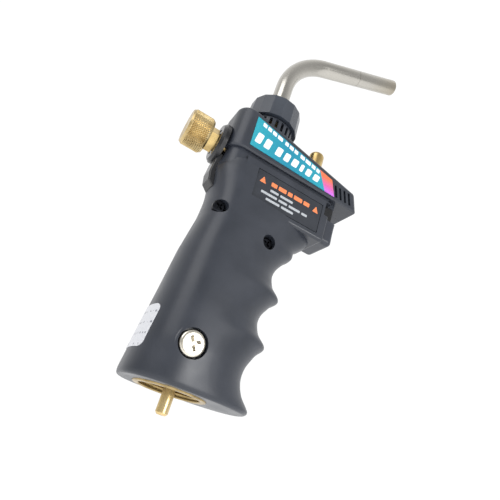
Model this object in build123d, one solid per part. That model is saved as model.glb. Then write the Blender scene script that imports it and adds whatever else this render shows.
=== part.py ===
"""Hand torch that screws onto a one-inch gas cylinder: trigger start, bent burn tube.

Millimetres. +Z runs up along the cylinder socket's thread, +X is the way the flame points,
and the origin is the centre of the socket's mouth.
"""
import os
from math import copysign, cos, pi, radians, sin, tan

from build123d import *

# Cylinder socket and inlet
SOCKET_R = 15.1          # brass ring outside
SOCKET_TOP = 24.0
THREAD_R = 12.05         # minor radius of the 1 inch - 20 thread
THREAD_DEPTH = 12.0
PIN_R = 2.52
PIN_SEAT_R = 2.3         # upper end, above the shoulder that holds the seal
PIN_SHOULDER_Z = 10.4
PIN_TIP_Z = -8.6
PIN_BORE_R = 0.9
INLET_TOP = 22.0
FILTER_R = 1.8

# Handle
RIM_Z = 0.6              # bottom face of the moulded handle
RIM_ROUND = 1.1
FLOOR_Z = 4.2
WALL = 2.4
SPLIT_GAP = 0.05         # half of the parting line
TIP_Z = [3.2, 29.3, 51.8, 75.2]      # crests between the finger grooves
TIP_X = [32.4, 32.6, 33.4, 34.6]
GROOVE_DEPTH = 6.8
WIDEST_X = -2.0          # where each section across the grip is widest
ROUNDNESS = 0.85         # 1 is an ellipse, less is squarer
SECTION_POINTS = 28
HOLLOW_FRONT_X = 23.6    # front of the hollow, behind the finger grooves

# Head
HEAD_HALF = 12.9
HEAD_Z = 111.7           # underside of the upper box
HEAD_REAR_X = -17.0
HEAD_CORNER = 8.0
HEAD_TOP_REAR = 136.8    # height of the sloping top at the rear end
HEAD_SLOPE = 11.4        # degrees
NOSE_TOP_X = 55.4
NOSE_LOW_X = 58.6
BLOCK_HALF = 12.4
BLOCK_Z = 86.8
BLOCK_TOP = 109.0
BLOCK_FRONT = 43.2
SLOT_LEAN = 18.0

# Burner
BURNER_X = 3.5
TURRET_R = 12.5
TURRET_TOP = 137.4
COLLAR_Z = 138.3
COLLAR_H = 13.6
COLLAR_R_LOW = 14.2
COLLAR_R_TOP = 13.5
COLLAR_FACETS = 15
TUBE_R = 4.76            # three-eighths inch tube
TUBE_WALL = 0.75
BEND_Z = 170.8
BEND_R = 34.0
BEND_DEG = 65.0
TUBE_RUN = 54.5
MIXER_R = 6.5
MIXER_BORE = 5.2
MIXER_TOP = 148.0

# Valve and knob, on one axis along X
VALVE_Z = 115.0
VALVE_HALF = 7.0
VALVE_X = (-11.5, 14.0)
VALVE_ZS = (101.0, 123.0)
KNOB_X = (-36.2, -25.0)
KNOB_R = 9.1
STEM_R = 1.5
BEZEL_R = 10.4

# Trigger and what it pushes
TRIGGER_HALF = 9.5
TRIGGER_X = (35.2, 50.4)
TRIGGER_Z = (88.6, 101.4)
SLIDE_X = (32.0, 46.6)
SLIDE_TOP = 108.2
PLUNGER_Z = 104.6
PLUNGER_R = 2.2
PIEZO_Z = 94.5
PIEZO_R = 4.4
PIEZO_X = (-4.0, 22.0)

# Lock button
LOCK_X = 31.6
LOCK_Y = -5.0
LOCK_TOP = 137.9
LOCK_R = 3.9

# Fasteners
ANCHOR_X = -3.3
ANCHOR_Z = 17.0
ANCHOR_HEAD_R = 5.4
ANCHOR_FACE_Y = 19.3
HOUSING_SCREWS = [(-10.3, 78.0), (16.2, 72.6)]
HOUSING_HEAD_R = 2.9


def bar(radius, length, at, direction=(0, 0, 1)):
    """Cylinder that starts at a point and runs along a direction."""
    plane = Plane(origin=at, z_dir=direction)
    return plane * Cylinder(radius, length, align=(Align.CENTER, Align.CENTER, Align.MIN))


def ring(outer, inner, length, at, direction=(0, 0, 1)):
    """Straight tube that starts at a point."""
    start = Vector(*at) - Vector(*direction).normalized()
    return bar(outer, length, at, direction) - bar(inner, length + 2, tuple(start), direction)


def block(x, y, z):
    """Box between three pairs of limits."""
    size = (x[1] - x[0], y[1] - y[0], z[1] - z[0])
    return Pos(x[0], y[0], z[0]) * Box(*size, align=(Align.MIN, Align.MIN, Align.MIN))


def helix_spring(mean_r, wire_r, length, pitch, at, direction):
    """Round-wire compression spring on an axis."""
    path = Helix(pitch=pitch, height=length - 2 * wire_r, radius=mean_r)
    profile = Plane(origin=path @ 0, z_dir=path % 0) * Circle(wire_r)
    coil = sweep(profile, path=path, is_frenet=True)
    return Plane(origin=at, z_dir=direction) * Pos(0, 0, wire_r) * coil


def tube_on(points, radii, radius):
    """Round bar along straight runs joined by tangent arcs."""
    path = FilletPolyline(*points, radius=radii)
    profile = Plane(origin=path @ 0, z_dir=path % 0) * Circle(radius)
    return sweep(profile, path=path)


def top_at(x):
    """Height of the head's sloping top."""
    return HEAD_TOP_REAR - (x - HEAD_REAR_X) * tan(radians(HEAD_SLOPE))


def blend(value, table):
    """Value between the rows of a short table, in straight steps."""
    for (low, a), (high, b) in zip(table, table[1:]):
        if value <= high:
            share = max(0.0, (value - low) / (high - low))
            return a + (b - a) * share
    return table[-1][1]


def grip_front(z):
    """Front line of the grip: three finger grooves, then the flare under the head."""
    for (low, high, x_low, x_high) in zip(TIP_Z, TIP_Z[1:], TIP_X, TIP_X[1:]):
        if low <= z <= high:
            share = (z - low) / (high - low)
            crest = x_low + (x_high - x_low) * share
            return crest - GROOVE_DEPTH * sin(pi * share ** 0.85)
    if z < TIP_Z[0]:
        return TIP_X[0] - 0.7
    return blend(z, [(TIP_Z[-1], TIP_X[-1]), (77.5, 34.4), (BLOCK_Z, 41.5), (120.0, 41.5)])


def grip_back(z):
    """Back line of the grip, which leans forward and then runs out to the head."""
    return blend(z, [(0, -21.2), (3, -21.8), (20, -20.4), (38, -18.8), (57, -17.3), (76, -14.6),
                     (85, -14.4), (91, -15.2), (98, -16.7), (104, -17.0), (112, -17.0)])


def grip_half(z):
    """Half width of the grip."""
    return blend(z, [(0, 18.9), (3, 19.5), (17, 19.8), (40, 18.0), (60, 16.0), (80, 14.6),
                     (92, 13.9), (100, 13.2), (112, 11.6)])


def grip_section(z, back, front, half):
    """One rounded section across the grip, widest a little behind the thread's axis."""
    points = []
    for step in range(SECTION_POINTS):
        angle = 2 * pi * step / SECTION_POINTS
        reach = front - WIDEST_X if cos(angle) >= 0 else WIDEST_X - back
        x = WIDEST_X + copysign(reach * abs(cos(angle)) ** ROUNDNESS, cos(angle))
        y = copysign(half * abs(sin(angle)) ** ROUNDNESS, sin(angle))
        points.append((x, y))
    return Pos(0, 0, z) * make_face(Spline(*points, periodic=True))


def grip_outer():
    """Outside of the grip."""
    heights = [RIM_Z, TIP_Z[0]]
    for low, high in zip(TIP_Z, TIP_Z[1:]):
        heights += [low + (high - low) * step / 8 for step in range(1, 9)]
    heights += [78.0, 82.0, 86.0, 90.0, 94.0, 98.0, 102.0, 107.0]
    sections = []
    for z in heights:
        sections.append(grip_section(z, grip_back(z), grip_front(z), grip_half(z)))
    grip = loft(sections)
    return fillet(grip.edges().group_by(Axis.Z)[0], RIM_ROUND)


def grip_inner():
    """Hollow of the grip."""
    sections = []
    for z in (FLOOR_Z, 20, 40, 60, 76, 90, 100):
        sections.append(grip_section(z, grip_back(z) + WALL, HOLLOW_FRONT_X, grip_half(z) - WALL))
    return loft(sections)


def head_plan(half, rear, front, corner):
    """Plan of the head: rounded corners at the rear, square at the front."""
    centre = rear + corner
    with BuildSketch() as plan:
        with Locations(((centre + front) / 2, 0)):
            Rectangle(front - centre, 2 * half)
        with Locations(((rear + front) / 2, 0)):
            Rectangle(front - rear, 2 * (half - corner))
        with Locations((centre, half - corner), (centre, corner - half)):
            Circle(corner)
    return plan.sketch


def head_outer():
    """Upper box: sloping top, leaning nose, soft edges."""
    solid = extrude(Pos(0, 0, HEAD_Z) * head_plan(HEAD_HALF, HEAD_REAR_X, NOSE_LOW_X, HEAD_CORNER), 30)
    top = Plane(origin=(HEAD_REAR_X, 0, HEAD_TOP_REAR), x_dir=(1, 0, -tan(radians(HEAD_SLOPE))),
                z_dir=(sin(radians(HEAD_SLOPE)), 0, cos(radians(HEAD_SLOPE))))
    solid = split(solid, bisect_by=top, keep=Keep.BOTTOM)
    lean = NOSE_LOW_X - NOSE_TOP_X
    nose = Plane(origin=(NOSE_LOW_X, 0, HEAD_Z), x_dir=(0, 1, 0), z_dir=(10.4, 0, lean))
    solid = split(solid, bisect_by=nose, keep=Keep.BOTTOM)
    edges = solid.edges().filter_by(lambda e: e.center().Z > HEAD_Z + 2)
    upright = edges.filter_by(lambda e: abs((e @ 0).Z - (e @ 1).Z) > 6 and e.center().X > 50)
    solid = fillet(upright, 2.5)
    base = solid.faces().filter_by(lambda f: f.normal_at().Z < -0.9)
    solid = chamfer(base.edges(), 0.7)
    lid = solid.faces().filter_by(lambda f: f.normal_at().Z > 0.9).sort_by(Axis.Z)[-1]
    return fillet(lid.edges(), 2.2)


def lower_block():
    """Trigger housing under the head."""
    solid = block((-6, BLOCK_FRONT), (-BLOCK_HALF, BLOCK_HALF), (BLOCK_Z, BLOCK_TOP))
    upright = solid.edges().filter_by(Axis.Z).sort_by(Axis.X)[-2:]
    solid = fillet(upright, 1.2)
    low = solid.edges().filter_by(Axis.X).sort_by(Axis.Z)[:2]
    return fillet(low, 1.4)


def shell_outer():
    """Whole outside of both handle halves together."""
    grip = grip_outer()
    shoulder = Plane(origin=(-18, 0, 103.6), x_dir=(1, 0, 0.3), z_dir=(-0.3, 0, 1))
    grip = split(grip, bisect_by=shoulder, keep=Keep.BOTTOM)
    neck_plan = head_plan(HEAD_HALF - 2.0, HEAD_REAR_X + 1.5, 42.0, HEAD_CORNER - 1.5)
    neck = extrude(Pos(0, 0, 100) * neck_plan, 13)
    turret = bar(TURRET_R, TURRET_TOP - 120, (BURNER_X, 0, 120))
    nose_web = block((40, 47), (-9, 9), (BLOCK_TOP - 0.5, HEAD_Z + 0.5))
    return grip + lower_block() + neck + head_outer() + turret + nose_web


def shell_hollow():
    """Room inside the handle for the works."""
    room = grip_inner()
    room += bar(SOCKET_R + 0.15, 6, (0, 0, 0))
    room += block((-11.8, BLOCK_FRONT + 3), (-TRIGGER_HALF - 0.35, TRIGGER_HALF + 0.35),
                  (88.2, SLIDE_TOP + 0.4))
    throat = head_plan(HEAD_HALF - 2.9, HEAD_REAR_X + 3.4, 39.0, HEAD_CORNER - 3.4)
    room += extrude(Pos(0, 0, 98) * throat, 16)
    room_plan = head_plan(HEAD_HALF - WALL, HEAD_REAR_X + WALL, 53.0, HEAD_CORNER - WALL)
    upper = extrude(Pos(0, 0, HEAD_Z + 1.8) * room_plan, 30)
    lid = Plane(origin=(HEAD_REAR_X, 0, HEAD_TOP_REAR - 2.3),
                z_dir=(sin(radians(HEAD_SLOPE)), 0, cos(radians(HEAD_SLOPE))))
    room += split(upper, bisect_by=lid, keep=Keep.BOTTOM)
    room += bar(TURRET_R - 1.9, 30, (BURNER_X, 0, 118))
    room += bar(5.2, 12, (HEAD_REAR_X - 5, 0, VALVE_Z), (1, 0, 0))
    room += bar(LOCK_R + 0.25, 14, (LOCK_X, LOCK_Y, 120))
    room += tongue(4.5, 0.1)
    return room


def vent_cuts():
    """Air slots: all round the turret, and four leaning ones on each side of the nose."""
    cuts = []
    for step in range(24):
        angle = step * 15.0 + 7.5
        slot = Pos(TURRET_R, 0, 0) * Box(6, 1.5, 5.2)
        cuts.append(Pos(BURNER_X, 0, 134.2) * Rot(0, 0, angle) * slot)
    for step in range(4):
        centre = 43.5 + 2.85 * step
        slot = Rot(0, -SLOT_LEAN, 0) * Box(1.3, 40, 6.8)
        cuts.append(Pos(centre, 0, 117.0) * slot)
    return cuts


def anchor_boss(side):
    """Pad inside the handle that the big screw clamps against the socket."""
    pad = bar(7.0, 5.0, (ANCHOR_X, side * 13.6, ANCHOR_Z), (0, side, 0))
    return pad - bar(SOCKET_R + 0.15, 30, (0, 0, 2))


def handle_half(side):
    """One moulded half: side is -1 for the right and 1 for the left."""
    solid = SHELL_OUTER - SHELL_HOLLOW
    for cut in vent_cuts():
        solid -= cut
    keep = (SPLIT_GAP, 40) if side > 0 else (-40, -SPLIT_GAP)
    solid = solid & block((-60, 90), keep, (-5, 160))
    solid += anchor_boss(side)
    solid -= bar(ANCHOR_HEAD_R + 0.5, 10, (ANCHOR_X, side * (ANCHOR_FACE_Y - 2.6), ANCHOR_Z),
                 (0, side, 0))
    solid -= bar(2.6, 30, (ANCHOR_X, side * 5, ANCHOR_Z), (0, side, 0))
    for (x, z) in HOUSING_SCREWS:
        if side < 0:
            post = bar(4.6, 14.2, (x, -0.05, z), (0, -1, 0)) & SHELL_OUTER
            solid += post
            solid -= bar(1.6, 30, (x, 1, z), (0, -1, 0))
            solid -= bar(HOUSING_HEAD_R + 0.5, 14, (x, -9.2, z), (0, -1, 0))
        else:
            solid += bar(4.0, 14.2, (x, 0.05, z), (0, 1, 0)) & SHELL_OUTER
            solid -= bar(1.25, 8.2, (x, 0, z), (0, 1, 0))
    if side < 0:
        solid -= block((0.9, 38.7), (-BLOCK_HALF - 6, -BLOCK_HALF + 0.5), (89.7, 105.9))
    solid -= block((40.2, 48.2), (min(side * 9, side * 20), max(side * 9, side * 20)), (101.2, 108.6))
    return solid.solids().sort_by(SortBy.VOLUME)[-1]


def cylinder_socket():
    """Brass socket with a blind thread bore; the anchor screws hold it."""
    body = bar(SOCKET_R, SOCKET_TOP, (0, 0, 0)) - bar(THREAD_R, THREAD_DEPTH, (0, 0, 0))
    body -= bar(PIN_SEAT_R, 30, (0, 0, 5))
    for side in (-1, 1):
        body -= bar(2.5, 10, (ANCHOR_X, side * 6.2, ANCHOR_Z), (0, side, 0))
    rims = body.edges().filter_by(GeomType.CIRCLE).group_by(Axis.Z)[0]
    body = chamfer(rims, 0.5)
    return body


def inlet_pin():
    """Hollow pin that opens the cylinder's valve."""
    pin = bar(PIN_R, PIN_SHOULDER_Z - PIN_TIP_Z, (0, 0, PIN_TIP_Z))
    tip = pin.edges().filter_by(GeomType.CIRCLE).sort_by(Axis.Z)[0]
    pin = chamfer(tip, 0.8)
    pin += bar(PIN_SEAT_R, INLET_TOP - PIN_SHOULDER_Z, (0, 0, PIN_SHOULDER_Z))
    return pin - bar(PIN_BORE_R, 40, (0, 0, PIN_TIP_Z - 1)) - bar(FILTER_R, 4.0, (0, 0, INLET_TOP - 3.5))


def inlet_seal():
    """Rubber washer between the pin's shoulder and the bottom of the thread."""
    return ring(7.6, PIN_SEAT_R + 0.06, 1.5, (0, 0, THREAD_DEPTH - 1.52))


def inlet_filter():
    """Sintered plug in the pin's upper end."""
    return bar(FILTER_R - 0.05, 3.3, (0, 0, INLET_TOP - 3.45))


def regulator_body():
    """Brass cup on the socket, with the outlet stub at the front."""
    cup = bar(12.0, 12.0, (0, 0, SOCKET_TOP + 0.02)) - bar(9.6, 8.0, (0, 0, SOCKET_TOP + 4.5))
    cup += bar(3.2, 4.5, (11.4, 0, 30.0), (1, 0, 0))
    cup -= bar(1.65, 12, (8.5, 0, 30.0), (1, 0, 0))
    cup -= bar(1.2, 8, (0, 0, SOCKET_TOP - 1))
    return cup


def regulator_diaphragm():
    """Rubber disc that the outlet pressure lifts."""
    disc = bar(11.6, 0.9, (0, 0, 36.06))
    return disc + bar(5.0, 1.2, (0, 0, 36.5))


def regulator_spring():
    """Spring that sets the outlet pressure."""
    return helix_spring(3.6, 0.55, 8.6, 2.2, (0, 0, 37.8), (0, 0, 1))


def regulator_cap():
    """Bonnet over the diaphragm and its spring."""
    cap = bar(12.0, 2.8, (0, 0, 37.0)) + bar(6.4, 11.5, (0, 0, 37.0))
    cap -= bar(5.2, 9.6, (0, 0, 36.9))
    cap -= bar(11.7, 0.1, (0, 0, 36.9))
    return cap


def gas_tube():
    """Thin copper tube from the regulator's outlet to the valve."""
    points = [(11.0, 0, 30.0), (20.0, 0, 30.0), (20.0, 0, 46.0), (1.5, 0, 66.0), (0.5, 0, 82.0),
              (-9.0, 0, 91.0), (-9.0, 0, 102.5)]
    return tube_on(points, [4.5, 8.0, 8.0, 6.0, 5.5], 1.6)


def valve_body():
    """Brass block with the needle valve, the trigger valve and the jet's seat."""
    body = block(VALVE_X, (-VALVE_HALF, VALVE_HALF), VALVE_ZS)
    body = fillet(body.edges().filter_by(Axis.X), 1.5)
    body += bar(5.6, 1.4, (VALVE_X[0] - 1.2, 0, VALVE_Z), (1, 0, 0))
    body -= bar(4.6, 10.2, (VALVE_X[0] - 4, 0, VALVE_Z), (1, 0, 0))
    body -= bar(1.75, 14, (-6, 0, VALVE_Z), (1, 0, 0))
    body -= bar(PLUNGER_R + 0.05, 11.5, (3.5, 0, PLUNGER_Z), (1, 0, 0))
    body -= bar(1.65, 3.0, (-9.0, 0, VALVE_ZS[0] - 1))
    body -= bar(3.0, 6.0, (BURNER_X, 0, VALVE_ZS[1] - 5))
    body -= bar(MIXER_R, 3.0, (BURNER_X, 0, VALVE_ZS[1] - 2.0))
    return body


def hexagon_bar(flats, length, at, direction, turn=0.0):
    """Hexagonal bar, sized across its flats."""
    plane = Plane(origin=at, z_dir=direction)
    sketch = Rot(0, 0, turn) * RegularPolygon(flats / 2, 6, major_radius=False)
    return extrude(plane * sketch, length)


def gland_nut():
    """Hexagon that screws into the valve and seals the stem."""
    nut = hexagon_bar(10.2, 3.9, (-24.9, 0, VALVE_Z), (1, 0, 0), 30)
    nut += bar(4.55, 15.5, (-21.2, 0, VALVE_Z), (1, 0, 0))
    nut -= bar(STEM_R + 0.06, 30, (-30, 0, VALVE_Z), (1, 0, 0))
    nut -= bar(2.7, 2.2, (-7.9, 0, VALVE_Z), (1, 0, 0))
    return nut


def valve_stem():
    """Needle that the knob turns."""
    stem = bar(STEM_R, 37.0, (-33.2, 0, VALVE_Z), (1, 0, 0))
    point = Plane(origin=(3.8, 0, VALVE_Z), z_dir=(1, 0, 0))
    return stem + point * Cone(STEM_R, 0.3, 3.0, align=(Align.CENTER, Align.CENTER, Align.MIN))


def stem_o_ring():
    """Seal round the needle's stem."""
    return Plane(origin=(-6.8, 0, VALVE_Z), z_dir=(1, 0, 0)) * Torus(STEM_R + 0.6, 0.52)


def adjusting_knob():
    """Brass knob with chamfered ends."""
    length = KNOB_X[1] - KNOB_X[0]
    knob = bar(KNOB_R, length, (KNOB_X[0], 0, VALVE_Z), (1, 0, 0))
    knob = chamfer(knob.edges().filter_by(GeomType.CIRCLE), 0.9)
    return knob - bar(STEM_R, length, (KNOB_X[0] + 0.75, 0, VALVE_Z), (1, 0, 0))


def tongue(half, grow):
    """Tail of the rear bezel, which fills the slot down the back of the handle."""
    with BuildSketch(Plane.XZ) as outline:
        with BuildLine():
            Polyline((-17.3, 107.5), (-18.4, 104), (-18.8, 97), (-17.9, 92.4), (-15.2, 89.8 - grow),
                     (-13.4 + grow, 89.8 - grow), (-13.4 + grow, 107.5), close=True)
        make_face()
    return extrude(outline.sketch, half, both=True)


def rear_bezel():
    """Black plate at the back: a dished disc and a tongue down the parting line."""
    disc = bar(BEZEL_R, 3.4, (-20.6, 0, VALVE_Z), (1, 0, 0))
    disc = chamfer(disc.edges().filter_by(GeomType.CIRCLE).sort_by(Axis.X)[0], 1.4)
    tail = tongue(4.4, 0)
    backs = tail.edges().filter_by(lambda e: e.center().X < -15 and abs(abs(e.center().Y) - 4.4) < 0.01)
    plate = disc + fillet(backs.filter_by(lambda e: e.center().Z < 107), 0.9)
    plate -= bar(4.8, 12, (-24, 0, VALVE_Z), (1, 0, 0))
    return plate - bar(6.6, 1.0, (-21.3, 0, VALVE_Z), (1, 0, 0))


def jet_nozzle():
    """Gas jet at the foot of the mixing tube."""
    jet = bar(2.95, 4.4, (BURNER_X, 0, 118.4)) + hexagon_bar(7.6, 3.0, (BURNER_X, 0, 122.6), (0, 0, 1))
    jet += bar(1.25, 5.0, (BURNER_X, 0, 125.4))
    return jet - bar(0.35, 20, (BURNER_X, 0, 116))


def mixing_tube():
    """Brass tube with air holes that carries the turning collar."""
    tube = ring(MIXER_R, MIXER_BORE, MIXER_TOP - 121.1, (BURNER_X, 0, 121.1))
    for angle in (30, 90, 150, 210, 270, 330):
        hole = bar(1.9, 12, (0, 0, 134.0), (cos(radians(angle)), sin(radians(angle)), 0))
        tube -= Pos(BURNER_X, 0, 0) * hole
    return tube - ring(MIXER_R + 1, MIXER_R - 0.6, 1.0, (BURNER_X, 0, 143.5))


def retaining_ring():
    """Wire ring that keeps the collar on the mixing tube."""
    wire = ring(MIXER_R + 0.5, MIXER_R - 0.5, 0.7, (BURNER_X, 0, 143.65))
    return wire - block((BURNER_X + 3, BURNER_X + 9), (-1.6, 1.6), (140, 146))


def collar():
    """Faceted grip that turns with the burn tube."""
    low = Pos(BURNER_X, 0, COLLAR_Z) * RegularPolygon(COLLAR_R_LOW, COLLAR_FACETS)
    high = Pos(BURNER_X, 0, COLLAR_Z + COLLAR_H) * RegularPolygon(COLLAR_R_TOP, COLLAR_FACETS)
    body = loft([low, high])
    body = chamfer(body.edges().filter_by(lambda e: e.center().Z > COLLAR_Z + COLLAR_H - 0.1), 0.8)
    body -= bar(11.6, 7.0, (BURNER_X, 0, COLLAR_Z - 1))
    body += bar(9.0, 8.0, (BURNER_X, 0, COLLAR_Z + 1.0))
    body -= bar(MIXER_R + 0.06, MIXER_TOP - COLLAR_Z + 0.4, (BURNER_X, 0, COLLAR_Z))
    body -= bar(TUBE_R, 30, (BURNER_X, 0, COLLAR_Z))
    return body - ring(MIXER_R + 0.65, MIXER_R, 1.1, (BURNER_X, 0, 143.45))


def burn_path(start_z):
    """Centre line of the burn tube."""
    lean = radians(BEND_DEG)
    rise = Line((BURNER_X, 0, start_z), (BURNER_X, 0, BEND_Z))
    end = (BURNER_X + BEND_R * (1 - cos(lean)), 0, BEND_Z + BEND_R * sin(lean))
    middle = (BURNER_X + BEND_R * (1 - cos(lean / 2)), 0, BEND_Z + BEND_R * sin(lean / 2))
    bend = ThreePointArc((BURNER_X, 0, BEND_Z), middle, end)
    tip = (end[0] + TUBE_RUN * sin(lean), 0, end[2] + TUBE_RUN * cos(lean))
    return Wire([rise, bend, Line(end, tip)])


def burn_tube():
    """Stainless tube, bent forwards, with a thin wall."""
    path = burn_path(MIXER_TOP + 0.6)
    section = Plane(origin=(BURNER_X, 0, MIXER_TOP + 0.6)) * (Circle(TUBE_R) - Circle(TUBE_R - TUBE_WALL))
    return sweep(section, path=path)


def tip_point(back):
    """Point on the straight run, a distance back from the tip."""
    lean = radians(BEND_DEG)
    run = TUBE_RUN - back
    x = BURNER_X + BEND_R * (1 - cos(lean)) + run * sin(lean)
    z = BEND_Z + BEND_R * sin(lean) + run * cos(lean)
    return (x, 0, z), (sin(lean), 0, cos(lean))


def flame_holder():
    """Perforated steel insert just inside the tip."""
    at, along = tip_point(6.0)
    plug = bar(TUBE_R - TUBE_WALL, 3.0, at, along)
    plane = Plane(origin=tip_point(7.0)[0], x_dir=(0, 1, 0), z_dir=along)
    holes = [plane * Pos(2.5 * cos(k * pi / 3), 2.5 * sin(k * pi / 3), 0) * Cylinder(0.75, 12) for k in range(6)]
    for hole in holes:
        plug -= hole
    return plug - plane * Cylinder(1.1, 12)


def piezo_igniter():
    """Spark generator under the valve."""
    length = PIEZO_X[1] - PIEZO_X[0]
    body = bar(PIEZO_R, length, (PIEZO_X[0], 0, PIEZO_Z), (1, 0, 0))
    body += bar(1.5, 1.2, (PIEZO_X[0] - 1.0, 2.4, PIEZO_Z), (1, 0, 0))
    return body - bar(2.95, 11, (PIEZO_X[1] - 10, 0, PIEZO_Z), (1, 0, 0))


def piezo_plunger():
    """Button of the spark generator, pushed by the trigger's slide."""
    return bar(2.6, SLIDE_X[0] - 0.1 - PIEZO_X[1] + 2.0, (PIEZO_X[1] - 2.0, 0, PIEZO_Z), (1, 0, 0))


def ignition_lead():
    """Insulated wire from the spark generator up to the electrode."""
    points = [(PIEZO_X[0] - 1.02, 2.4, PIEZO_Z), (-7.4, 2.4, PIEZO_Z), (-7.6, 8.6, 99.0),
              (-2.0, 8.7, 112.0), (BURNER_X, 8.7, 123.5), (BURNER_X, 8.7, 134.0), (BURNER_X, 3.75, 134.0)]
    return tube_on(points, [1.2, 2.6, 12.0, 12.0, 2.2], 0.95)


def electrode_insulator():
    """Ceramic rod beside the jet."""
    return bar(1.1, 22.0, (BURNER_X, 2.6, 132.0)) - bar(0.4, 40, (BURNER_X, 2.6, 130))


def spark_electrode():
    """Wire that ends inside the burn tube."""
    return bar(0.38, 28.0, (BURNER_X, 2.6, 133.0))


def trigger():
    """Sliding trigger with a dished face for the finger."""
    body = block(TRIGGER_X, (-TRIGGER_HALF, TRIGGER_HALF), TRIGGER_Z)
    front = body.edges().filter_by(lambda e: e.center().X > TRIGGER_X[1] - 0.1)
    sides = front.filter_by(Axis.Z)
    body = fillet(sides, 2.4)
    low = body.edges().filter_by(lambda e: e.center().Z < TRIGGER_Z[0] + 0.1 and e.center().X > 40)
    body = fillet(low, 2.2)
    dish = Pos(TRIGGER_X[1] + 26.6, 0, 96.5) * Rot(90, 0, 0) * Cylinder(27.5, 40)
    return body - dish


def trigger_slide():
    """Black slide behind the trigger that runs in the head."""
    rail = block(SLIDE_X, (-TRIGGER_HALF + 0.2, TRIGGER_HALF - 0.2), (TRIGGER_Z[1] + 0.02, SLIDE_TOP))
    web = block((SLIDE_X[0], TRIGGER_X[0] - 0.02), (-TRIGGER_HALF + 0.2, TRIGGER_HALF - 0.2),
                (TRIGGER_Z[0], SLIDE_TOP - 1))
    return rail + web


def valve_plunger():
    """Pin that opens the trigger valve."""
    pin = bar(PLUNGER_R, SLIDE_X[0] - 0.1 - 10.0, (10.0, 0, PLUNGER_Z), (1, 0, 0))
    return pin + bar(3.9, 1.2, (25.0, 0, PLUNGER_Z), (1, 0, 0))


def trigger_spring():
    """Return spring round the valve's pin."""
    return helix_spring(3.1, 0.4, 10.7, 1.9, (VALVE_X[1] + 0.1, 0, PLUNGER_Z), (1, 0, 0))


def lock_button():
    """Brass button that holds the trigger in."""
    head = bar(LOCK_R, LOCK_TOP - 123.4, (LOCK_X, LOCK_Y, 123.4))
    head = fillet(head.edges().filter_by(GeomType.CIRCLE).sort_by(Axis.Z)[-1], 1.9)
    flange = bar(4.9, 1.4, (LOCK_X, LOCK_Y, 122.3))
    return head + flange + bar(1.7, 10, (LOCK_X, LOCK_Y, 113.4))


def lock_spring():
    """Spring that lifts the lock button."""
    return helix_spring(2.7, 0.4, 5.9, 1.7, (LOCK_X, LOCK_Y, 116.3), (0, 0, 1))


def lock_bracket():
    """Steel shelf under the lock button's spring."""
    shelf = block((26.0, 37.5), (-HEAD_HALF + 2.5, 3.0), (115.1, 116.1))
    return shelf - bar(1.95, 10, (LOCK_X, LOCK_Y, 110))


def anchor_screws():
    """Two M5 pan-head screws that hold the socket."""
    screws = []
    for side in (-1, 1):
        seat = ANCHOR_FACE_Y - 2.6
        head = bar(ANCHOR_HEAD_R, 2.6, (ANCHOR_X, side * seat, ANCHOR_Z), (0, side, 0))
        head = fillet(head.edges().filter_by(GeomType.CIRCLE).sort_by(Axis.Y)[0 if side < 0 else -1], 1.2)
        shank = bar(2.5, seat - 6.4, (ANCHOR_X, side * 6.4, ANCHOR_Z), (0, side, 0))
        screws.append(head + shank)
    return Compound(children=screws)


def housing_screws():
    """Two small screws, deep in the right half, that close the handle."""
    screws = []
    for (x, z) in HOUSING_SCREWS:
        head = bar(HOUSING_HEAD_R, 2.0, (x, -9.2, z), (0, -1, 0))
        head = fillet(head.edges().filter_by(GeomType.CIRCLE).sort_by(Axis.Y)[0], 0.8)
        head -= Pos(x, -10.9, z) * Rot(0, 35, 0) * Box(3.4, 1.6, 0.8)
        head -= Pos(x, -10.9, z) * Rot(0, 35, 0) * Box(0.8, 1.6, 3.4)
        screws.append(head + bar(1.2, 16, (x, 6.8, z), (0, -1, 0)))
    return Compound(children=screws)


def side_sticker():
    """Thin coloured label on the right of the head."""
    with BuildSketch(Plane.XZ) as outline:
        with BuildLine():
            Polyline((-7.6, 114.4), (-8.2, top_at(-8.2) - 3.6), (39.6, top_at(39.6) - 3.6),
                     (43.0, 113.2), close=True)
        make_face()
    return Pos(0, -HEAD_HALF - 0.02, 0) * extrude(outline.sketch, 0.25)


def caution_plaque():
    """Dark plate let into the trigger housing."""
    plate = block((1.2, 38.4), (-BLOCK_HALF + 0.0, -BLOCK_HALF + 0.48), (90.0, 105.6))
    return fillet(plate.edges().filter_by(Axis.Y), 1.0)


def rear_label():
    """White label wrapped round the back of the grip."""
    sections = []
    for z in range(8, 32, 3):
        sections.append(grip_section(z, grip_back(z) - 0.22, grip_front(z), grip_half(z) + 0.22))
    skin = loft(sections)
    with BuildSketch(Plane.YZ) as outline:
        with Locations((-0.5, 19.6)):
            RectangleRounded(20.0, 18.0, 2.6)
    patch = extrude(outline.sketch, -40)
    return ((skin & patch) - SHELL_OUTER).solids().sort_by(SortBy.VOLUME)[-1]


SHELL_OUTER = shell_outer()
SHELL_HOLLOW = shell_hollow()
RIGHT = handle_half(-1)
LEFT = handle_half(1)

NODES = {
    "right_shell": RIGHT,
    "left_shell": LEFT,
}

BUILDERS = [
    cylinder_socket, inlet_pin, inlet_seal, inlet_filter, regulator_body, regulator_diaphragm,
    regulator_spring, regulator_cap, gas_tube, valve_body, gland_nut, valve_stem, stem_o_ring,
    adjusting_knob, rear_bezel, jet_nozzle, mixing_tube, retaining_ring, collar, burn_tube,
    flame_holder, piezo_igniter, piezo_plunger, ignition_lead, electrode_insulator,
    spark_electrode, trigger, trigger_slide, valve_plunger, trigger_spring, lock_button,
    lock_spring, lock_bracket, anchor_screws, housing_screws, side_sticker, caution_plaque,
    rear_label,
]

for builder in BUILDERS:
    NODES[builder.__name__] = builder()

os.makedirs("parts", exist_ok=True)
for name, shape in NODES.items():
    export_step(shape, f"parts/{name}.step")
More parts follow.
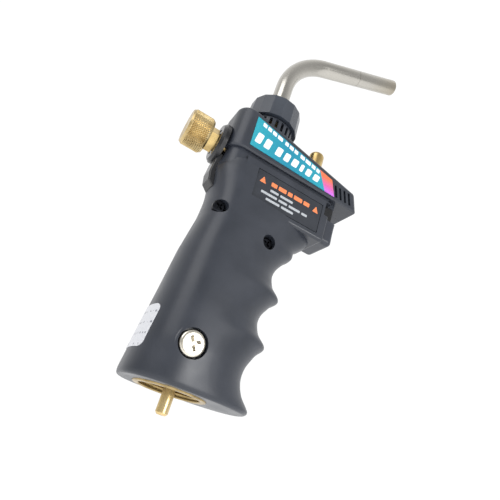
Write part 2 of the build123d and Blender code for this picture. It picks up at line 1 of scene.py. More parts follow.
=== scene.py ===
"""Looks of a hand-held gas torch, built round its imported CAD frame. Lengths are in metres."""
import logging
import math
from collections.abc import Callable, Iterable
from dataclasses import dataclass, field
from enum import Enum

import bmesh
import bpy
from mathutils import Matrix, Vector


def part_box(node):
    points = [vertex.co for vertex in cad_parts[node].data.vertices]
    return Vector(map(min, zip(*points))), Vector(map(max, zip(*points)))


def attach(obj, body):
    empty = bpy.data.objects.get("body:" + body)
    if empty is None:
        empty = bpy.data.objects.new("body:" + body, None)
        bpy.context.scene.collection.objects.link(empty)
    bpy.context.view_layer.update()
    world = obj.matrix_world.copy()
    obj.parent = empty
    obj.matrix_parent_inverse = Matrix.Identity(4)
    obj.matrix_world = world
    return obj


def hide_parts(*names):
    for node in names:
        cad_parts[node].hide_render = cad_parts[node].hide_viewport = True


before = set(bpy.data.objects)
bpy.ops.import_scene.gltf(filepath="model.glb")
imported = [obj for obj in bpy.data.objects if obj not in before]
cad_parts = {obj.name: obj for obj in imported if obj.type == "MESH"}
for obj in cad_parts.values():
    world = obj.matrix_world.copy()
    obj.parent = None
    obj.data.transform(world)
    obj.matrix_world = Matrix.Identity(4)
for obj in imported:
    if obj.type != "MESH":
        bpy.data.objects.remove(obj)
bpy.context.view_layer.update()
LOG = logging.getLogger("torch")
MM = 0.001
TOP_SLOPE = -0.2016  # Rise of the head's top for each step forwards.
NEAR = 1e-6  # Places closer than this count as the same.
FACING = 0.9  # A face whose normal reaches this along an axis faces that way.
CAP_CORNERS = 8  # A face with more corners than this closes a round end.


class Axis(Enum):
    """Direction that a turned piece's axis points along."""

    X = (1.0, 0.0, 0.0)
    Y = (0.0, 1.0, 0.0)
    Z = (0.0, 0.0, 1.0)


def linear(code: str) -> tuple[float, float, float, float]:
    """Turns an sRGB hex colour into linear light.

    Args:
        code: Colour as six hex digits.

    Returns:
        Linear red, green, blue and an alpha of one.
    """
    parts = [int(code[i:i + 2], 16) / 255 for i in (0, 2, 4)]
    light = [c / 12.92 if c <= 0.04045 else ((c + 0.055) / 1.055) ** 2.4 for c in parts]
    return (light[0], light[1], light[2], 1.0)


def per_metre(feature_mm: float) -> float:
    """Gives a noise scale whose features are about a size in millimetres."""
    return 1.0 / (feature_mm * MM)


def add_node(tree: bpy.types.NodeTree, kind: str, inputs: dict | None = None,
             **settings: object) -> bpy.types.Node:
    """Adds one node with its settings and links.

    Args:
        tree: Node tree of a material or a world.
        kind: Blender's name of the node type.
        inputs: Input name or number to a value or to another node's output.
        **settings: Properties of the node itself.

    Returns:
        The new node.
    """
    node = tree.nodes.new(kind)
    for key, value in settings.items():
        setattr(node, key, value)
    for key, value in (inputs or {}).items():
        if isinstance(value, bpy.types.NodeSocket):
            tree.links.new(value, node.inputs[key])
        else:
            node.inputs[key].default_value = value
    return node


def ramp(tree: bpy.types.NodeTree, fac: bpy.types.NodeSocket,
         stops: list[tuple[float, str]]) -> bpy.types.NodeSocket:
    """Adds a colour ramp.

    Args:
        tree: Node tree.
        fac: What the ramp reads.
        stops: Places and their hex colours, in order.

    Returns:
        The ramp's colour output.
    """
    node = add_node(tree, "ShaderNodeValToRGB", {"Fac": fac})
    elements = node.color_ramp.elements
    while len(elements) < len(stops):
        elements.new(0.5)
    for element, (place, code) in zip(elements, stops):
        element.position = place
        element.color = linear(code)
    return node.outputs["Color"]


def start_material(name: str) -> tuple[bpy.types.Material, bpy.types.NodeTree,
                                       bpy.types.Node, bpy.types.NodeSocket]:
    """Starts a node material.

    Args:
        name: Name of the material.

    Returns:
        The material, its tree, its Principled shader and the object coordinates.
    """
    material = bpy.data.materials.new(name)
    material.use_nodes = True
    tree = material.node_tree
    shader = tree.nodes["Principled BSDF"]
    place = add_node(tree, "ShaderNodeTexCoord").outputs["Object"]
    return material, tree, shader, place


def relief(tree: bpy.types.NodeTree, shader: bpy.types.Node, height: bpy.types.NodeSocket,
           depth_mm: float, strength: float = 1.0) -> None:
    """Bumps a shader's normal by a height.

    Args:
        tree: Node tree.
        shader: Principled shader.
        height: Height from 0 to 1.
        depth_mm: Height that 1 stands for.
        strength: How much of it shows.
    """
    bump = add_node(tree, "ShaderNodeBump",
                    {"Height": height, "Distance": depth_mm * MM, "Strength": strength})
    tree.links.new(bump.outputs["Normal"], shader.inputs["Normal"])


def vary(tree: bpy.types.NodeTree, source: bpy.types.NodeSocket, low: float,
         high: float) -> bpy.types.NodeSocket:
    """Spreads a 0 to 1 value over another range.

    Args:
        tree: Node tree.
        source: The value.
        low: What 0 becomes.
        high: What 1 becomes.

    Returns:
        The spread value.
    """
    node = add_node(tree, "ShaderNodeMapRange",
                    {"Value": source, "From Min": 0.3, "From Max": 0.7,
                     "To Min": low, "To Max": high})
    return node.outputs["Result"]


@dataclass(frozen=True)
class MouldedPlastic:
    """Injection-moulded plastic: faint clouding, and a fine eroded grain that softens the gloss."""

    name: str
    base: str
    cloud: str
    roughness: float = 0.38
    grain_mm: float = 0.35
    grain_depth_mm: float = 0.012
    specular: float = 0.5

    def material(self) -> bpy.types.Material:
        """Builds the material.

        Returns:
            The new material.
        """
        material, tree, shader, place = start_material(self.name)
        cloud = add_node(tree, "ShaderNodeTexNoise",
                         {"Vector": place, "Scale": per_metre(14), "Detail": 3.0})
        grain = add_node(tree, "ShaderNodeTexNoise",
                         {"Vector": place, "Scale": per_metre(self.grain_mm), "Detail": 2.0})
        colour = ramp(tree, cloud.outputs["Fac"], [(0.32, self.base), (0.68, self.cloud)])
        tree.links.new(colour, shader.inputs["Base Color"])
        rough = vary(tree, cloud.outputs["Fac"], self.roughness - 0.05, self.roughness + 0.06)
        tree.links.new(rough, shader.inputs["Roughness"])
        shader.inputs["IOR"].default_value = 1.5
        shader.inputs["Specular IOR Level"].default_value = self.specular
        relief(tree, shader, grain.outputs["Fac"], self.grain_depth_mm)
        return material


@dataclass(frozen=True)
class TurnedMetal:
    """Metal cut on a lathe: fine tool lines round the axis and slight tarnish in patches."""

    name: str
    base: str
    tarnish: str
    axis: Axis = Axis.Z
    roughness: float = 0.26
    line_mm: float = 0.22
    line_depth_mm: float = 0.006

    def material(self) -> bpy.types.Material:
        """Builds the material.

        Returns:
            The new material.
        """
        material, tree, shader, place = start_material(self.name)
        patches = add_node(tree, "ShaderNodeTexNoise",
                           {"Vector": place, "Scale": per_metre(5), "Detail": 4.0})
        stretch = tuple(1.0 if part else 0.04 for part in self.axis.value)
        along = add_node(tree, "ShaderNodeMapping", {"Vector": place, "Scale": stretch})
        lines = add_node(tree, "ShaderNodeTexNoise",
                         {"Vector": along.outputs["Vector"], "Scale": per_metre(self.line_mm),
                          "Detail": 2.0})
        colour = ramp(tree, patches.outputs["Fac"], [(0.38, self.base), (0.75, self.tarnish)])
        tree.links.new(colour, shader.inputs["Base Color"])
        shader.inputs["Metallic"].default_value = 1.0
        rough = vary(tree, patches.outputs["Fac"], self.roughness - 0.04, self.roughness + 0.1)
        tree.links.new(rough, shader.inputs["Roughness"])
        relief(tree, shader, lines.outputs["Fac"], self.line_depth_mm)
        return material


@dataclass(frozen=True)
class DrawnTube:
    """Drawn stainless tube: polishing scratches, a faint straw tint at the flame end, a seam."""

    name: str
    base: str = "bab7b0"
    tint: str = "b0a898"
    tint_from_x: float = 0.055
    tint_to_x: float = 0.075
    seam: str = "8b8780"
    seam_at: float = 0.1307
    seam_half: float = 0.00015
    lean_deg: float = 65.0

    def material(self) -> bpy.types.Material:
        """Builds the material.

        Returns:
            The new material.
        """
        material, tree, shader, place = start_material(self.name)
        scratches = add_node(tree, "ShaderNodeTexNoise",
                             {"Vector": place, "Scale": per_metre(0.6), "Detail": 6.0,
                              "Distortion": 0.4})
        across = add_node(tree, "ShaderNodeSeparateXYZ", {"Vector": place})
        heat = add_node(tree, "ShaderNodeMapRange",
                        {"Value": across.outputs["X"], "From Min": self.tint_from_x,
                         "From Max": self.tint_to_x})
        colour = ramp(tree, heat.outputs["Result"], [(0.0, self.base), (1.0, self.tint)])
        lean = math.radians(self.lean_deg)
        reach = add_node(tree, "ShaderNodeVectorMath",
                         {0: place, 1: (math.sin(lean), 0.0, math.cos(lean))},
                         operation="DOT_PRODUCT")
        line = add_node(tree, "ShaderNodeMath",
                        {0: reach.outputs["Value"], 1: self.seam_at, 2: self.seam_half},
                        operation="COMPARE")
        both = add_node(tree, "ShaderNodeMix",
                        {0: line.outputs[0], 6: colour, 7: linear(self.seam)},
                        data_type="RGBA")
        tree.links.new(both.outputs[2], shader.inputs["Base Color"])
        shader.inputs["Metallic"].default_value = 1.0
        rough = vary(tree, scratches.outputs["Fac"], 0.17, 0.27)
        tree.links.new(rough, shader.inputs["Roughness"])
        relief(tree, shader, scratches.outputs["Fac"], 0.0008)
        return material


@dataclass(frozen=True)
class Rubber:
    """Moulded rubber or silicone: matt black with a fine bloom."""

    name: str
    base: str = "141415"
    bloom: str = "242427"

    def material(self) -> bpy.types.Material:
        """Builds the material.

        Returns:
            The new material.
        """
        material, tree, shader, place = start_material(self.name)
        bloom = add_node(tree, "ShaderNodeTexNoise",
                         {"Vector": place, "Scale": per_metre(2), "Detail": 4.0})
        colour = ramp(tree, bloom.outputs["Fac"], [(0.35, self.base), (0.7, self.bloom)])
        tree.links.new(colour, shader.inputs["Base Color"])
        tree.links.new(vary(tree, bloom.outputs["Fac"], 0.55, 0.75), shader.inputs["Roughness"])
        relief(tree, shader, bloom.outputs["Fac"], 0.01)
        return material


@dataclass(frozen=True)
class PrintedFilm:
    """Glossy printed film: a blue-green field, lighter forwards, and a warm wedge in front."""

    name: str
    field_dark: str = "1b86a2"
    field_light: str = "2b9fb0"
    wedge_top: str = "e8754f"
    wedge_low: str = "d464a8"
    wedge_x: float = 0.0345
    wedge_z: float = 0.1175
    wedge_slope: float = 0.55

    def material(self) -> bpy.types.Material:
        """Builds the material.

        Returns:
            The new material.
        """
        material, tree, shader, place = start_material(self.name)
        parts = add_node(tree, "ShaderNodeSeparateXYZ", {"Vector": place})
        run = add_node(tree, "ShaderNodeMapRange",
                       {"Value": parts.outputs["X"], "From Min": -0.008, "From Max": 0.04})
        sea = ramp(tree, run.outputs["Result"], [(0.0, self.field_light), (0.45, self.field_dark),
                                                 (1.0, self.field_light)])
        rise = add_node(tree, "ShaderNodeMapRange",
                        {"Value": parts.outputs["Z"], "From Min": 0.1135, "From Max": 0.1225})
        warm = ramp(tree, rise.outputs["Result"], [(0.0, "c86fe0"), (0.35, self.wedge_low),
                                                   (0.8, self.wedge_top)])
        lean = add_node(tree, "ShaderNodeMath",
                        {0: parts.outputs["Z"], 1: self.wedge_slope,
                         2: -self.wedge_z * self.wedge_slope},
                        operation="MULTIPLY_ADD")
        across = add_node(tree, "ShaderNodeMath", {0: parts.outputs["X"], 1: lean.outputs[0]},
                          operation="ADD")
        front = add_node(tree, "ShaderNodeMapRange",
                         {"Value": across.outputs[0], "From Min": self.wedge_x,
                          "From Max": self.wedge_x + 0.0002})
        both = add_node(tree, "ShaderNodeMix", {0: front.outputs["Result"], 6: sea, 7: warm},
                        data_type="RGBA")
        tree.links.new(both.outputs[2], shader.inputs["Base Color"])
        ink = add_node(tree, "ShaderNodeTexNoise", {"Vector": place, "Scale": per_metre(3)})
        tree.links.new(vary(tree, ink.outputs["Fac"], 0.22, 0.32), shader.inputs["Roughness"])
        relief(tree, shader, ink.outputs["Fac"], 0.01)
        return material


@dataclass(frozen=True)
class PrintInk:
    """Screen-printed ink or label paper: even colour with a slight mottle."""

    name: str
    base: str
    mottle: str
    roughness: float = 0.5

    def material(self) -> bpy.types.Material:
        """Builds the material.

        Returns:
            The new material.
        """
        material, tree, shader, place = start_material(self.name)
        mottle = add_node(tree, "ShaderNodeTexNoise",
                          {"Vector": place, "Scale": per_metre(0.8), "Detail": 3.0})
        colour = ramp(tree, mottle.outputs["Fac"], [(0.3, self.base), (0.75, self.mottle)])
        tree.links.new(colour, shader.inputs["Base Color"])
        rough = vary(tree, mottle.outputs["Fac"], self.roughness - 0.05, self.roughness + 0.08)
        tree.links.new(rough, shader.inputs["Roughness"])
        relief(tree, shader, mottle.outputs["Fac"], 0.004)
        return material


@dataclass(frozen=True)
class LabelPaper:
    """Coated paper label: a soft sheen, with short grey dashes in rows and no words."""

    name: str
    paper: str = "d9dade"
    mottle: str = "cfd1d7"
    ink: str = "7b7e86"
    row_mm: float = 4.6
    dash_mm: float = 1.5

    def material(self) -> bpy.types.Material:
        """Builds the material.

        Returns:
            The new material.
        """
        material, tree, shader, place = start_material(self.name)
        fibre = add_node(tree, "ShaderNodeTexNoise",
                         {"Vector": place, "Scale": per_metre(0.5), "Detail": 4.0})
        sheet = ramp(tree, fibre.outputs["Fac"], [(0.3, self.paper), (0.7, self.mottle)])
        parts = add_node(tree, "ShaderNodeSeparateXYZ", {"Vector": place})
        rows = add_node(tree, "ShaderNodeMath", {0: parts.outputs["Z"], 1: per_metre(self.row_mm)},
                        operation="MULTIPLY")
        share = add_node(tree, "ShaderNodeMath", {0: rows.outputs[0]}, operation="FRACT")
        line = add_node(tree, "ShaderNodeMath", {0: share.outputs[0], 1: 0.5, 2: 0.09},
                        operation="COMPARE")
        flat = add_node(tree, "ShaderNodeMapping", {"Vector": place, "Scale": (0.0, 1.0, 0.35)})
        dash = add_node(tree, "ShaderNodeTexNoise",
                        {"Vector": flat.outputs["Vector"], "Scale": per_metre(self.dash_mm)})
        printed = add_node(tree, "ShaderNodeMath", {0: dash.outputs["Fac"], 1: 0.56},
                           operation="GREATER_THAN")
        ink = add_node(tree, "ShaderNodeMath", {0: printed.outputs[0], 1: line.outputs[0]},
                       operation="MULTIPLY")
        both = add_node(tree, "ShaderNodeMix", {0: ink.outputs[0], 6: sheet, 7: linear(self.ink)},
                        data_type="RGBA")
        tree.links.new(both.outputs[2], shader.inputs["Base Color"])
        tree.links.new(vary(tree, fibre.outputs["Fac"], 0.38, 0.5), shader.inputs["Roughness"])
        relief(tree, shader, fibre.outputs["Fac"], 0.004)
        return material


def dress(nodes: Iterable[str], material: bpy.types.Material) -> None:
    """Gives CAD nodes a material.

    Args:
        nodes: Names of the nodes.
        material: What they are finished in.
    """
    for name in nodes:
        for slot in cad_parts[name].material_slots:
            slot.material = material


def deselect() -> None:
    """Leaves nothing selected and object mode on."""
    if bpy.context.object and bpy.context.object.mode != "OBJECT":
        bpy.ops.object.mode_set(mode="OBJECT")
    bpy.ops.object.select_all(action="DESELECT")


def edit(piece: bpy.types.Object) -> bmesh.types.BMesh:
    """Opens a piece in edit mode with nothing selected.

    Args:
        piece: The mesh object.

    Returns:
        Its live edit mesh.
    """
    deselect()
    bpy.context.view_layer.objects.active = piece
    piece.select_set(True)
    bpy.ops.object.mode_set(mode="EDIT")
    bpy.ops.mesh.select_mode(type="FACE")
    bpy.ops.mesh.select_all(action="DESELECT")
    return bmesh.from_edit_mesh(piece.data)


def pick(mesh: bmesh.types.BMesh, kind: str, test: Callable[[object], bool]) -> int:
    """Selects the faces, edges or verts that pass a test, and nothing else.

    Args:
        mesh: Live edit mesh.
        kind: FACE, EDGE or VERT.
        test: Says whether an element is wanted.

    Returns:
        How many were selected.
    """
    bpy.ops.mesh.select_mode(type=kind)
    bpy.ops.mesh.select_all(action="DESELECT")
    items = {"FACE": mesh.faces, "EDGE": mesh.edges, "VERT": mesh.verts}[kind]
    wanted = [item for item in items if test(item)]
    for item in wanted:
        item.select_set(True)
    mesh.select_flush_mode()
    return len(wanted)


def middle(edge: bmesh.types.BMEdge) -> Vector:
    """Gives an edge's middle."""
    return (edge.verts[0].co + edge.verts[1].co) / 2


def move_corners(piece: bpy.types.Object, places: Iterable[Vector]) -> None:
    """Moves a flat primitive's corners, one after another, to new places.

    Args:
        piece: The mesh object, unturned and at the origin.
        places: Where each corner goes, in the order of the primitive's corners.
    """
    for index, place in enumerate(places):
        mesh = edit(piece)
        mesh.verts.ensure_lookup_table()
        corner = mesh.verts[index]
        step = place - corner.co
        pick(mesh, "VERT", lambda v: v == corner)
        bpy.ops.transform.translate(value=tuple(step))


def use_modifier(piece: bpy.types.Object, kind: str, **settings: object) -> None:
    """Adds a modifier and applies it.

    Args:
        piece: The mesh object.
        kind: Blender's name of the modifier.
        **settings: The modifier's properties.
    """
    deselect()
    bpy.context.view_layer.objects.active = piece
    piece.select_set(True)
    modifier = piece.modifiers.new(kind.title(), kind)
    for key, value in settings.items():
        setattr(modifier, key, value)
    bpy.ops.object.modifier_apply(modifier=modifier.name)


def settle(piece: bpy.types.Object, name: str, matrix: Matrix,
           smooth_deg: float = 35.0) -> bpy.types.Object:
    """Finishes a piece: puts it in its place with its object at the origin, and shades it.

    Args:
        piece: The mesh object.
        name: Name of the piece.
        matrix: Where the piece goes, from where it was modelled.
        smooth_deg: Corners sharper than this stay sharp.

    Returns:
        The piece.
    """
    deselect()
    piece.name = name
    piece.data.name = name
    piece.matrix_world = matrix @ piece.matrix_world
    bpy.context.view_layer.objects.active = piece
    piece.select_set(True)
    bpy.ops.object.transform_apply(location=True, rotation=True, scale=True)
    bpy.ops.object.shade_smooth_by_angle(angle=math.radians(smooth_deg))
    piece.select_set(False)
    return piece


def outward(piece: bpy.types.Object) -> None:
    """Merges doubles and points every face outwards.

    Args:
        piece: The mesh object.
    """
    edit(piece)
    bpy.ops.mesh.select_all(action="SELECT")
    bpy.ops.mesh.remove_doubles(threshold=NEAR)
    bpy.ops.mesh.normals_make_consistent(inside=False)
    bpy.ops.object.mode_set(mode="OBJECT")


def centre(node: str) -> Vector:
    """Gives the middle of a CAD node's box."""
    low, high = (Vector(corner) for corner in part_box(node))
    return (low + high) / 2


def give(piece: bpy.types.Object, body: str, material: bpy.types.Material,
         stands_for: tuple[str, ...] = ()) -> None:
    """Hands a new piece to its body and its material.

    Args:
        piece: The new piece.
        body: Body that carries it.
        material: What it is finished in.
        stands_for: CAD nodes that it replaces.
    """
    piece.data.materials.clear()
    piece.data.materials.append(material)
    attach(piece, body)
    if stands_for:
        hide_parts(*stands_for)
    LOG.info("%s on %s: %d faces", piece.name, body, len(piece.data.polygons))


@dataclass
class FlameKnob:
    """Round brass knob with a diamond knurl."""

    columns: int = 44
    rows: int = 8
    tooth: float = 0.4 * MM
    end_chamfer: float = 0.9 * MM
    end_taper: float = 0.94
    dish_share: float = 0.42
    dish_depth: float = 0.25 * MM

    def build(self, brass: bpy.types.Material) -> None:
        """Models the knob in place of the plain one.

        Args:
            brass: Finish of the knob.
        """
        low, high = (Vector(corner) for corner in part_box("adjusting_knob"))
        length = high.x - low.x
        radius = (high.z - low.z) / 2 - self.tooth
        grip = length - 2 * self.end_chamfer
        bpy.ops.mesh.primitive_cylinder_add(vertices=self.columns, radius=radius, depth=length)
        knob = bpy.context.object
        mesh = edit(knob)
        for row in range(self.rows + 1):
            bpy.ops.mesh.select_all(action="SELECT")
            height = -grip / 2 + grip * row / self.rows
            bpy.ops.mesh.bisect(plane_co=(0, 0, height), plane_no=(0, 0, 1))
        mesh = edit(knob)
        pick(mesh, "FACE", lambda f: abs(f.normal.z) < 0.1
             and abs(f.calc_center_median().z) < grip / 2)
        bpy.ops.mesh.poke(offset=0.0)
        mesh = edit(knob)
        tip = radius * math.cos(math.pi / self.columns) + NEAR
        flat = grip / 2 - NEAR

        def old_edge(edge: bmesh.types.BMEdge) -> bool:
            """Says whether an edge is a straight side of the first grid, inside the grip.

            Args:
                edge: Edge of the knob.

            Returns:
                Whether it goes.
            """
            ends = [v.co for v in edge.verts]
            outer = all(math.hypot(c.x, c.y) > tip for c in ends)
            return outer and abs(middle(edge).z) < flat and len(edge.link_faces) == 2
        pick(mesh, "EDGE", old_edge)
        bpy.ops.mesh.dissolve_edges(use_verts=False)
        mesh = edit(knob)
        pick(mesh, "FACE", lambda f: abs(f.normal.z) < 0.3
             and abs(f.calc_center_median().z) < grip / 2 and len(f.verts) == 4)
        bpy.ops.mesh.poke(offset=self.tooth)
        mesh = edit(knob)
        for side in (-1, 1):
            pick(mesh, "FACE", lambda f: f.normal.z * side > FACING and len(f.verts) > CAP_CORNERS)
            bpy.ops.mesh.inset(thickness=self.end_chamfer)
            mesh = edit(knob)
            pick(mesh, "VERT", lambda v: v.co.z * side > length / 2 - 10 * NEAR
                 and math.hypot(v.co.x, v.co.y) > radius * 0.95)
            bpy.ops.transform.resize(value=(self.end_taper, self.end_taper, 1))
            pick(mesh, "FACE", lambda f: f.normal.z * side > FACING and len(f.verts) > CAP_CORNERS)
            bpy.ops.mesh.inset(thickness=radius * self.dish_share)
            bpy.ops.transform.translate(value=(0, 0, -side * self.dish_depth))
        deselect()
        turn = Matrix.Translation(centre("adjusting_knob")) @ Matrix.Rotation(math.pi / 2, 4, "Y")
        settle(knob, "flame_knob_knurled", turn, 20)
        give(knob, "knob", brass, ("adjusting_knob",))


@dataclass
class BigScrews:
    """Pan-head cross-recess screws that hold the socket, one on each side."""

    recess_reach: float = 3.6 * MM
    recess_width: float = 1.5 * MM
    recess_depth: float = 2.1 * MM
    turn_deg: float = 28.0
    recess_round: float = 0.42 * MM
    recess_taper: tuple[float, float, float] = (0.7, 0.8, 1.0)
    head_height: float = 2.6 * MM
    head_round: float = 1.5 * MM
    shank_radius: float = 2.5 * MM
    shank_length: float = 7.0 * MM
    sides: int = 64

    def cross(self) -> bpy.types.Object:
        """Models the driver's recess as a cutter.

        Returns:
            The cutter.
        """
        arms = []
        for angle in (0.0, 90.0):
            bpy.ops.mesh.primitive_cube_add(size=1)
            arm = bpy.context.object
            arm.scale = (2 * self.recess_reach, self.recess_width, 2 * self.recess_depth)
            bpy.ops.object.transform_apply(scale=True)
            mesh = edit(arm)
            pick(mesh, "FACE", lambda f: f.normal.z < -FACING)
            bpy.ops.transform.resize(value=self.recess_taper)
            mesh = edit(arm)
            pick(mesh, "EDGE",
                 lambda e: abs(e.verts[0].co.z - e.verts[1].co.z) > self.recess_depth)
            bpy.ops.mesh.bevel(offset=self.recess_round, segments=4)
            deselect()
            arm.rotation_euler.z = math.radians(angle + self.turn_deg)
            arms.append(arm)
        use_modifier(arms[0], "BOOLEAN", object=arms[1], operation="UNION", solver="EXACT")
        bpy.data.objects.remove(arms[1])
        return arms[0]

    def build(self, nickel: bpy.types.Material) -> None:
        """Models both screws in place of the plain ones.

        Args:
            nickel: Finish of the screws.
        """
        low, high = (Vector(corner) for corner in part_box("anchor_screws"))
        radius = (high.x - low.x) / 2
        mid = (low + high) / 2
        for index, side in enumerate((-1, 1)):
            deselect()
            bpy.ops.mesh.primitive_cylinder_add(
                vertices=self.sides, radius=radius, depth=self.head_height,
                location=(0, 0, -self.head_height / 2))
            screw = bpy.context.object
            bpy.ops.object.transform_apply(location=True)
            mesh = edit(screw)
            pick(mesh, "EDGE", lambda e: all(v.co.z > -NEAR for v in e.verts))
            bpy.ops.mesh.bevel(offset=self.head_round, segments=6, profile=0.55)
            mesh = edit(screw)
            pick(mesh, "FACE", lambda f: f.normal.z < -FACING and len(f.verts) > CAP_CORNERS)
            bpy.ops.mesh.inset(thickness=radius - self.shank_radius)
            bpy.ops.mesh.extrude_region_move(
                TRANSFORM_OT_translate={"value": (0, 0, -self.shank_length)})
            deselect()
            cutter = self.cross()
            use_modifier(screw, "BOOLEAN", object=cutter, operation="DIFFERENCE", solver="EXACT")
            bpy.data.objects.remove(cutter)
            use_modifier(screw, "TRIANGULATE")
            face = Vector((mid.x, high.y if side > 0 else low.y, mid.z))
            turn = Matrix.Translation(face) @ Matrix.Rotation(-side * math.pi / 2, 4, "X")
            settle(screw, f"anchor_screw_{'left' if side > 0 else 'right'}", turn)
            stands_for = ("anchor_screws",) if index == 0 else ()
            give(screw, "handle", nickel, stands_for)


@dataclass
class ThreadedSocket:
    """Brass cylinder socket with its real helical thread."""

    root_radius: float = 12.75 * MM
    crest_radius: float = 12.08 * MM
    pitch: float = 1.27 * MM
    bore_depth: float = 12.0 * MM
    turns: int = 8
    sides: int = 96
    steps: int = 48
    rim_chamfer: float = 0.5 * MM
    mouth_chamfer: float = 0.4 * MM
    ridge_start: float = 1.6 * MM
    ridge_half: float = 0.62 * MM
    ridge_sink: float = 0.1 * MM

    def body(self) -> bpy.types.Object:
        """Models the ring and its blind bore.

        Returns:
            The ring.
        """
        low, high = (Vector(corner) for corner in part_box("cylinder_socket"))
        outer = (high.x - low.x) / 2
        height = high.z - low.z
        bpy.ops.mesh.primitive_cylinder_add(vertices=self.sides, radius=outer, depth=height,
                                            location=(0, 0, height / 2))
        ring = bpy.context.object
        bpy.ops.object.transform_apply(location=True)
        mesh = edit(ring)
        pick(mesh, "EDGE", lambda e: all(v.co.z < NEAR for v in e.verts))
        bpy.ops.mesh.bevel(offset=self.rim_chamfer, segments=2)
        mesh = edit(ring)
        pick(mesh, "FACE", lambda f: f.normal.z < -FACING and len(f.verts) > CAP_CORNERS)
        bpy.ops.mesh.inset(
            thickness=outer - self.rim_chamfer - self.root_radius - self.mouth_chamfer)
        bpy.ops.mesh.inset(thickness=self.mouth_chamfer)
        bpy.ops.transform.translate(value=(0, 0, self.mouth_chamfer))
        bpy.ops.mesh.extrude_region_move(
            TRANSFORM_OT_translate={"value": (0, 0, self.bore_depth - self.mouth_chamfer)})
        deselect()
        return ring

    def thread(self) -> bpy.types.Object:
        """Models the thread's ridge as one long helix.

        Returns:
            The ridge.
        """
        deselect()
        bpy.ops.mesh.primitive_circle_add(vertices=3, radius=MM, fill_type="NOTHING")
        ridge = bpy.context.object
        foot = self.root_radius + self.ridge_sink
        corners = [(self.crest_radius, 0.0), (foot, self.ridge_half), (foot, -self.ridge_half)]
        move_corners(ridge, [Vector((reach, 0.0, self.ridge_start + rise))
                             for reach, rise in corners])
        deselect()
        use_modifier(ridge, "SCREW", axis="Z", angle=2 * math.pi, screw_offset=self.pitch,
                     iterations=self.turns, steps=self.steps, render_steps=self.steps)
        mesh = edit(ridge)
        pick(mesh, "EDGE", lambda e: e.is_boundary)
        bpy.ops.mesh.edge_face_add()
        deselect()
        outward(ridge)
        return ridge

    def build(self, brass: bpy.types.Material) -> None:
        """Models the socket in place of the plain one.

        Args:
            brass: Finish of the socket.
        """
        deselect()
        ring = settle(self.body(), "cylinder_socket_bored", Matrix())
        give(ring, "handle", brass, ("cylinder_socket",))
        ridge = settle(self.thread(), "cylinder_socket_thread", Matrix())
        give(ridge, "handle", brass)


@dataclass
class BurnTube:
    """Bent stainless tube, drawn round a mandrel, with a rounded tip."""

    axis_x: float = 3.5 * MM
    bend_z: float = 170.8 * MM
    bend_radius: float = 34.0 * MM
    bend_deg: float = 65.0
    run: float = 54.5 * MM
    wall: float = 0.75 * MM
    tip_round: float = 0.28 * MM
    sides: int = 64
    bend_steps: int = 40

    def build(self, steel: bpy.types.Material) -> None:
        """Models the tube in place of the plain one.

        Args:
            steel: Finish of the tube.
        """
        low, high = (Vector(corner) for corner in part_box("burn_tube"))
        radius = (high.y - low.y) / 2
        lean = math.radians(self.bend_deg)
        deselect()
        bpy.ops.mesh.primitive_circle_add(vertices=self.sides, radius=radius,
                                          location=(self.axis_x, 0, low.z))
        tube = bpy.context.object
        bpy.ops.object.transform_apply(location=True)
        mesh = edit(tube)
        pick(mesh, "EDGE", lambda e: True)
        bpy.ops.mesh.extrude_edges_move(
            TRANSFORM_OT_translate={"value": (0, 0, self.bend_z - low.z)})
        bpy.ops.mesh.spin(steps=self.bend_steps, angle=lean, axis=(0, -1, 0),
                          center=(self.axis_x + self.bend_radius, 0, self.bend_z))
        along = Vector((math.sin(lean), 0, math.cos(lean)))
        bpy.ops.mesh.extrude_edges_move(TRANSFORM_OT_translate={"value": along * self.run})
        deselect()
        outward(tube)
        use_modifier(tube, "SOLIDIFY", thickness=self.wall, offset=-1)
        use_modifier(tube, "BEVEL", width=self.tip_round, segments=3, limit_method="ANGLE",
                     angle_limit=math.radians(50))
        settle(tube, "burn_tube_bent", Matrix())
        give(tube, "burner", steel, ("burn_tube",))


@dataclass
class PrintedMarks:
    """Plain bars and triangles printed where the real labels carry words."""

    lift: float = 0.06 * MM

    def plate(self, name: str, corners: list[tuple[float, float]], y: float, slot: str,
              ink: bpy.types.Material, corner_mm: float = 0.3) -> None:
        """Makes one thin printed shape on a side that faces -Y.

        Args:
            name: Name of the piece.
            corners: Its corners in X and Z, in millimetres.
            y: Height of the surface that it is printed on.
            slot: Not used.
            ink: Its finish.
            corner_mm: Rounding of its corners.
        """
        deselect()
        bpy.ops.mesh.primitive_circle_add(vertices=len(corners), radius=MM, fill_type="NGON")
        piece = bpy.context.object
        move_corners(piece, [Vector((x * MM, y, z * MM)) for x, z in corners])
        bpy.ops.mesh.select_all(action="SELECT")
        bpy.ops.mesh.bevel(offset=corner_mm * MM, segments=3, affect="VERTICES")
        bpy.ops.mesh.select_all(action="SELECT")
        bpy.ops.mesh.normals_make_consistent(inside=False)
        deselect()
        use_modifier(piece, "SOLIDIFY", thickness=self.lift, offset=0)
        outward(piece)
        settle(piece, name, Matrix())
        give(piece, "handle", ink)

    def slab(self, name: str, start: tuple[float, float], size: tuple[float, float], slope: float,
             y: float, slot: str, ink: bpy.types.Material) -> None:
        """Makes one printed bar, given its lower rear corner.

        Args:
            name: Name of the piece.
            start: Lower rear corner in X and Z, in millimetres.
            size: Length and height, in millimetres.
            slope: Rise in Z for each step in X.
            y: Height of the surface.
            slot: Material slot.
            ink: Its finish.
        """
        (x, z), (length, height) = start, size
        corners = [(x, z), (x + length, z + slope * length),
                   (x + length, z + height + slope * length), (x, z + height)]
        self.plate(name, corners, y, slot, ink, min(0.35, height * 0.3))


